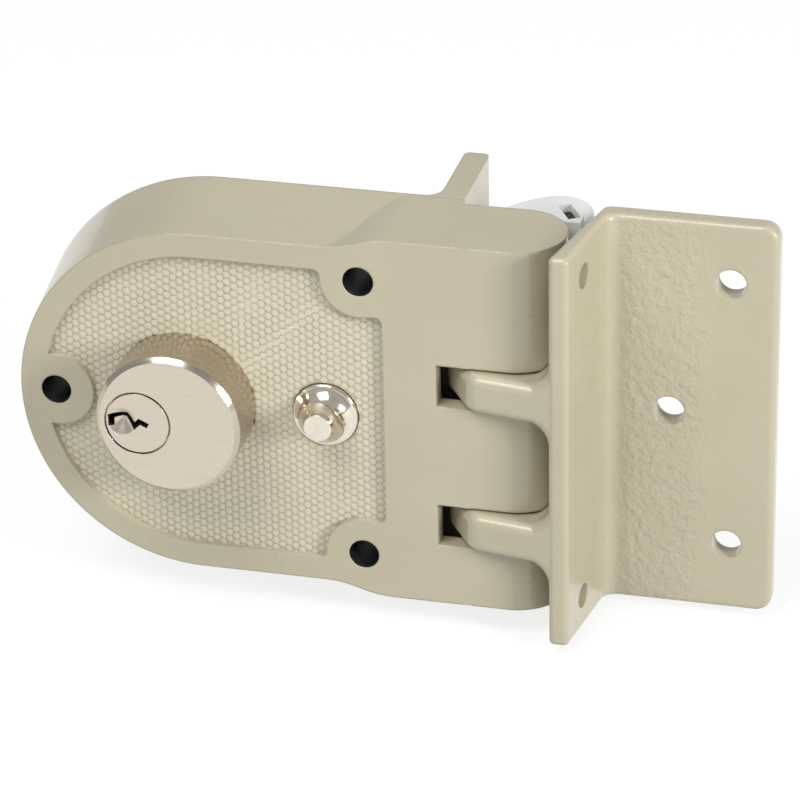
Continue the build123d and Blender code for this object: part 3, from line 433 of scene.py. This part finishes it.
# One scale on each point, each a little different in size
def scatterGroup(seed):
    group = bpy.data.node_groups.new("ScatterScales", "GeometryNodeTree")
    addSocket(group, "Geometry", "Geometry")
    addSocket(group, "Size", "Float", value=1.0)
    addSocket(group, "Geometry", "Geometry", out=True)
    start = group.nodes.new("NodeGroupInput")
    end = group.nodes.new("NodeGroupOutput")
    points = group.nodes.new("GeometryNodeMeshToPoints")
    info = group.nodes.new("GeometryNodeObjectInfo")
    info.inputs["Object"].default_value = seed
    place = group.nodes.new("GeometryNodeInstanceOnPoints")
    vary = group.nodes.new("FunctionNodeRandomValue")
    vary.inputs[2].default_value, vary.inputs[3].default_value = panelLook["sizes"]
    vary.inputs["Seed"].default_value = panelLook["seed"]
    real = group.nodes.new("GeometryNodeRealizeInstances")
    paint = group.nodes.new("GeometryNodeSetMaterial")
    paint.inputs["Material"].default_value = scaleBrightenedEnamel
    size = maths(group, "MULTIPLY", vary.outputs[1], start.outputs["Size"])
    group.links.new(start.outputs["Geometry"], points.inputs["Mesh"])
    group.links.new(points.outputs["Points"], place.inputs["Points"])
    group.links.new(info.outputs["Geometry"], place.inputs["Instance"])
    group.links.new(size, place.inputs["Scale"])
    group.links.new(place.outputs["Instances"], real.inputs["Geometry"])
    group.links.new(real.outputs["Geometry"], paint.inputs["Geometry"])
    group.links.new(paint.outputs["Geometry"], end.inputs["Geometry"])
    return group


def growScales(places):
    base = bpy.data.meshes.new("scalePlaces")
    base.from_pydata(places, [], [])
    carrier = bpy.data.objects.new("scaleCarrier", base)
    seed = scaleSeed()
    for thing in (carrier, seed):
        bpy.context.scene.collection.objects.link(thing)
    modifier = carrier.modifiers.new("scatter", "NODES")
    modifier.node_group = scatterGroup(seed)
    bpy.context.view_layer.update()
    grown = bpy.data.meshes.new_from_object(carrier.evaluated_get(bpy.context.evaluated_depsgraph_get()))
    carrier.modifiers.remove(modifier)
    bpy.data.objects.remove(carrier)
    bpy.data.objects.remove(seed)
    return grown


def clearButtonHole(mesh):
    hole, middle = panelSize["buttonHole"], panelSize["buttonX"]
    for corner in mesh.vertices:  # a corner over the hole is moved out to its rim
        gap = math.hypot(corner.co.x - middle, corner.co.z)
        if gap < hole:
            stretch = hole / gap
            corner.co.x = middle + (corner.co.x - middle) * stretch
            corner.co.z = corner.co.z * stretch


def buildPanel():
    places = scalePlaces()
    grown = growScales(places)
    clearButtonHole(grown)
    panel = bpy.data.objects.new("panel_scales", grown)
    bpy.context.scene.collection.objects.link(panel)
    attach(panel, "lock_case")
    print("stage: panel has", len(places), "scales")


buildPanel()

# Faces with a finish of their own
frontLook = {"facing": -0.98, "before": -0.030}  # the cylinder's front faces forwards and lies before this Y
boreLook = {"reach": 0.0032, "facing": 0.5}      # a hole's wall is this near its axis and faces sideways


def addFinish(nodeName, material, belongs):
    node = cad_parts[nodeName]
    node.data.materials.append(material)
    for face in node.data.polygons:
        if belongs(face):
            face.material_index = 1


# The cylinder's front has a flatter grain than its turned side
def isFront(face):
    return face.normal.y < frontLook["facing"] and face.center.y < frontLook["before"]


# The mounting holes are bare metal inside, in a dark grey that also paints the shade deep in the holes
def isBore(face):
    near = min(math.hypot(face.center.x - x, face.center.z - z) for x, z in panelSize["lands"])
    return near < boreLook["reach"] and abs(face.normal.y) < boreLook["facing"]


addFinish("cylinder_body", metals["nickelFace"], isFront)
addFinish("case", metals["boreBareAndShade"], isBore)
print("stage: cylinder front and mounting holes dressed")

# Floor, light and camera
stageLook = {
    "floor": (194, 194, 194),
    "floorHalf": 3.0,
    "floorDrop": 0.002,     # from the lowest point of the lock to the floor
    "floorRoughness": 0.9,
    "floorGlow": 1.35,
    "glowShare": 0.6,       # of the floor, where the camera or a gloss sees it
    "world": 0.45,
    "aim": (0.03, 0, 0),
}
lampLooks = {
    "keyLamp": {"place": (-0.2, -0.5, 0.85), "size": (0.5, 0.5), "power": 5.7},
    "fillLamp": {"place": (0.9, -0.42, 0.32), "size": (0.22, 0.3), "power": 7.0},
}
cameraLook = {
    "place": (0.23155, -0.73407, 0.38487),
    "right": (0.9691, 0.2458, -0.0175),
    "forward": (-0.2263, 0.8595, -0.4583),
    "lens": 192.76,
    "sensor": 36.0,
    "clipStart": 0.05,
}
white = (1, 1, 1, 1)


def floorMaterial():
    material, tree, shader = newMaterial("floorWhite")
    output = next(node for node in tree.nodes if node.type == "OUTPUT_MATERIAL")
    shader.inputs["Base Color"].default_value = linear(*stageLook["floor"])
    shader.inputs["Roughness"].default_value = stageLook["floorRoughness"]
    glow = tree.nodes.new("ShaderNodeEmission")
    glow.inputs["Color"].default_value = white
    glow.inputs["Strength"].default_value = stageLook["floorGlow"]
    path = tree.nodes.new("ShaderNodeLightPath")
    seen = maths(tree, "MAXIMUM", path.outputs["Is Camera Ray"], path.outputs["Is Glossy Ray"])
    blend = tree.nodes.new("ShaderNodeMixShader")
    tree.links.new(maths(tree, "MULTIPLY", seen, stageLook["glowShare"]), blend.inputs[0])
    tree.links.new(shader.outputs["BSDF"], blend.inputs[1])
    tree.links.new(glow.outputs["Emission"], blend.inputs[2])
    tree.links.new(blend.outputs["Shader"], output.inputs["Surface"])
    return material


def addFloor():
    half = stageLook["floorHalf"]
    low = frameLow.z - stageLook["floorDrop"]
    mesh = bpy.data.meshes.new("floor")
    mesh.from_pydata([(-half, -half, low), (half, -half, low), (half, half, low), (-half, half, low)],
                     [], [(0, 1, 2, 3)])
    mesh.materials.append(floorMaterial())
    floor = bpy.data.objects.new("floor", mesh)
    bpy.context.scene.collection.objects.link(floor)


# The camera sees a white world, and everything else a dimmer one
def addWorld():
    world = bpy.data.worlds.new("studio")
    bpy.context.scene.world = world
    world.use_nodes = True
    tree = world.node_tree
    tree.nodes.clear()
    output = tree.nodes.new("ShaderNodeOutputWorld")
    dim = tree.nodes.new("ShaderNodeBackground")
    dim.inputs["Strength"].default_value = stageLook["world"]
    bright = tree.nodes.new("ShaderNodeBackground")
    for node in (dim, bright):
        node.inputs["Color"].default_value = white
    path = tree.nodes.new("ShaderNodeLightPath")
    mix = tree.nodes.new("ShaderNodeMixShader")
    tree.links.new(path.outputs["Is Camera Ray"], mix.inputs[0])
    tree.links.new(dim.outputs["Background"], mix.inputs[1])
    tree.links.new(bright.outputs["Background"], mix.inputs[2])
    tree.links.new(mix.outputs["Shader"], output.inputs["Surface"])


def addLamp(name):
    look = lampLooks[name]
    lamp = bpy.data.lights.new(name, "AREA")
    lamp.shape = "RECTANGLE"
    lamp.size, lamp.size_y = look["size"]
    lamp.energy = look["power"]
    holder = bpy.data.objects.new(name, lamp)
    bpy.context.scene.collection.objects.link(holder)
    toward = Vector(stageLook["aim"]) - Vector(look["place"])
    turn = toward.to_track_quat("-Z", "Y").to_matrix().to_4x4()
    holder.matrix_world = Matrix.Translation(look["place"]) @ turn


def addCamera():
    look = cameraLook
    camera = bpy.data.objects.new("camera", bpy.data.cameras.new("camera"))
    bpy.context.scene.collection.objects.link(camera)
    camera.data.sensor_width = look["sensor"]
    camera.data.lens = look["lens"]
    camera.data.clip_start = look["clipStart"]
    right = Vector(look["right"]).normalized()
    forward = Vector(look["forward"]).normalized()
    up = right.cross(forward).normalized()
    right = forward.cross(up).normalized()
    turn = Matrix((right, up, -forward)).transposed().to_4x4()
    camera.matrix_world = Matrix.Translation(look["place"]) @ turn
    bpy.context.scene.camera = camera


addFloor()
addWorld()
for lampName in lampLooks:
    addLamp(lampName)
addCamera()
bpy.context.scene.view_settings.view_transform = "Standard"
print("stage: floor, light and camera set")
